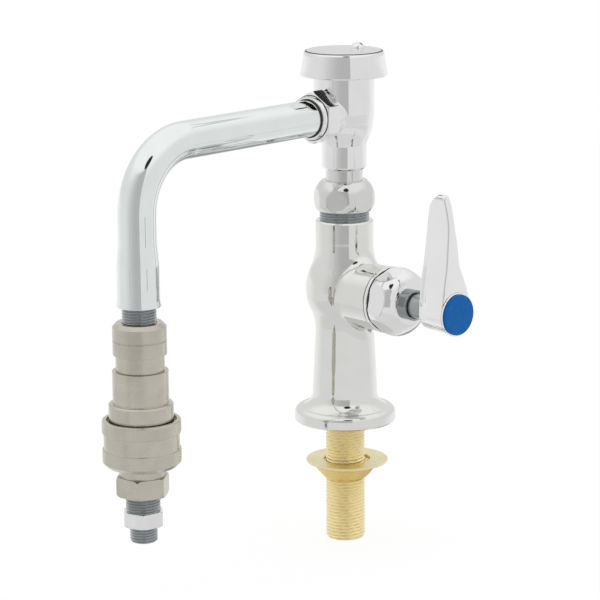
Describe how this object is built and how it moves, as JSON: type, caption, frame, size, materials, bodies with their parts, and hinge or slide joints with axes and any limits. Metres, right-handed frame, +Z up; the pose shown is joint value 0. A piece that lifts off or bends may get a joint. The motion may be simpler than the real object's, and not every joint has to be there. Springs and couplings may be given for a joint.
{
  "type": "pantry faucet",
  "caption": "Deck-mounted pantry faucet with a lever valve, a vacuum breaker on top, a swing spout and a quick-disconnect coupling on its end.",
  "frame": {"origin": "centre of the deck flange's underside, on the shank's axis", "axes": "+Z up along the column, +X along the valve's branch toward the lever, the spout at rest close to -Y"},
  "size_m": [0.1113, 0.1984, 0.2668],
  "materials": {
    "polished_chrome": "bright polished plating",
    "nickel_plate": "dull turned nickel plate",
    "raw_brass": "unplated turned and threaded brass",
    "turned_brass": "plain machined brass, hidden",
    "stainless_steel": "plain stainless",
    "white_ceramic": "lapped ceramic, hidden",
    "black_rubber": "moulded seal rubber",
    "white_plastic": "moulded acetal, hidden",
    "blue_plastic": "glossy cold index"
  },
  "bodies": {
    "deck_base": {"base_body": "polished_chrome", "inlet_shank": "raw_brass", "deck_washer": "raw_brass", "locknut": "raw_brass", "cartridge_housing": "turned_brass", "fixed_ceramic_disc": "white_ceramic", "cartridge_seat_seal": "black_rubber", "cartridge_o_ring": "black_rubber", "bonnet": "polished_chrome", "bonnet_gasket": "black_rubber", "coupling_nut": "polished_chrome", "swivel_washer": "white_plastic"},
    "handle": {"stem": "turned_brass", "moving_ceramic_disc": "white_ceramic", "stem_o_rings": "black_rubber", "stem_clip": "stainless_steel", "stem_sleeve": "polished_chrome", "lever_handle": "polished_chrome", "handle_screw": "stainless_steel", "index_button": "blue_plastic"},
    "spout": {"swivel_tailpiece": "polished_chrome", "tailpiece_o_rings": "black_rubber", "breaker_body": "polished_chrome", "vent_gasket": "black_rubber", "vent_bonnet": "turned_brass", "hood": "polished_chrome", "hood_screw": "polished_chrome", "outlet_nut": "polished_chrome", "outlet_gasket": "black_rubber", "tube_collar": "polished_chrome", "spout_tube": "polished_chrome", "spout_nipple": "nickel_plate", "coupler_adaptor": "nickel_plate", "coupler_body": "nickel_plate", "locking_balls": "stainless_steel", "coupler_o_ring": "black_rubber", "sleeve_retaining_ring": "stainless_steel", "sleeve_spring": "stainless_steel", "check_poppet": "white_plastic", "poppet_seal": "black_rubber", "check_spring": "stainless_steel", "poppet_guide": "nickel_plate"},
    "breaker_float": {"float_poppet": "white_plastic", "float_seal": "black_rubber"},
    "release_sleeve": {"release_sleeve": "nickel_plate"},
    "plug": {"plug_body": "nickel_plate", "reducing_nipple": "nickel_plate"}
  },
  "joints": [
    {"name": "spout_swivel", "type": "hinge", "parent": "deck_base", "child": "spout", "pos_m": [0, 0, 0.12], "axis": [0, 0, 1], "continuous": true},
    {"name": "handle_turn", "type": "hinge", "parent": "deck_base", "child": "handle", "pos_m": [0.06, 0, 0.0705], "axis": [1, 0, 0], "range_deg": [0, 90]},
    {"name": "float_lift", "type": "slide", "parent": "spout", "child": "breaker_float", "axis": [0, 0, 1], "range_m": [0, 0.0037]},
    {"name": "sleeve_release", "type": "slide", "parent": "spout", "child": "release_sleeve", "axis": [0, 0, 1], "range_m": [0, 0.005], "stiffness_N_per_m": 1200, "springref_m": -0.004, "deforming": ["sleeve_spring"]},
    {"name": "plug_swivel", "type": "hinge", "parent": "spout", "child": "plug", "pos_m": [0.01383, -0.15197, 0.01], "axis": [0, 0, 1], "continuous": true}
  ]
}
